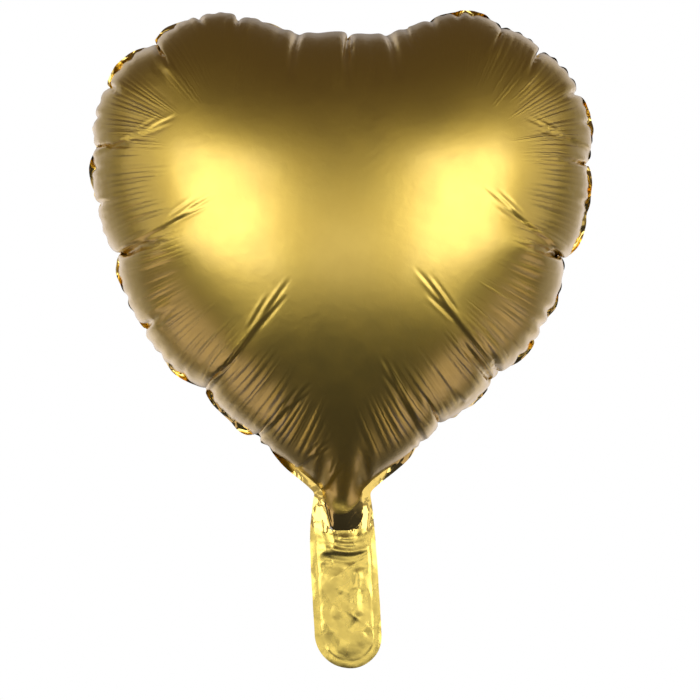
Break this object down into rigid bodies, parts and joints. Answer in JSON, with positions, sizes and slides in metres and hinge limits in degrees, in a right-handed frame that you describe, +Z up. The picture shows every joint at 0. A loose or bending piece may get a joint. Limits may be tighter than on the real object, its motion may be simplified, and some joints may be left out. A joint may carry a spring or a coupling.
{
  "type": "heart-shaped foil balloon",
  "caption": "Inflated heart-shaped foil balloon of two sealed metallised films, with a flat rounded filling tail that swings at the neck.",
  "frame": {"origin": "middle of the neck's fold line, under the heart's cross seal, where a ribbon is tied round the neck", "axes": "+Z up through the heart to its notch, -Y out of the printed front panel, +X to the heart's other side"},
  "size_m": [0.3784, 0.2126, 0.4858],
  "materials": {
    "satin_gold_film": "satin",
    "gloss_gold_film": "gloss",
    "clear_valve_film": "satin"
  },
  "bodies": {
    "heart": {"front_panel": "satin_gold_film", "rear_panel": "satin_gold_film", "seam_band": "gloss_gold_film", "valve_front_film": "clear_valve_film", "valve_rear_film": "clear_valve_film"},
    "tail": {"tail_front_film": "gloss_gold_film", "tail_rear_film": "gloss_gold_film", "inlet_front_film": "clear_valve_film", "inlet_rear_film": "clear_valve_film"}
  },
  "joints": [
    {"name": "tail_fold", "type": "hinge", "parent": "heart", "child": "tail", "pos_m": [0, 0, 0], "axis": [1, 0, 0], "range_deg": [-75, 75]}
  ]
}
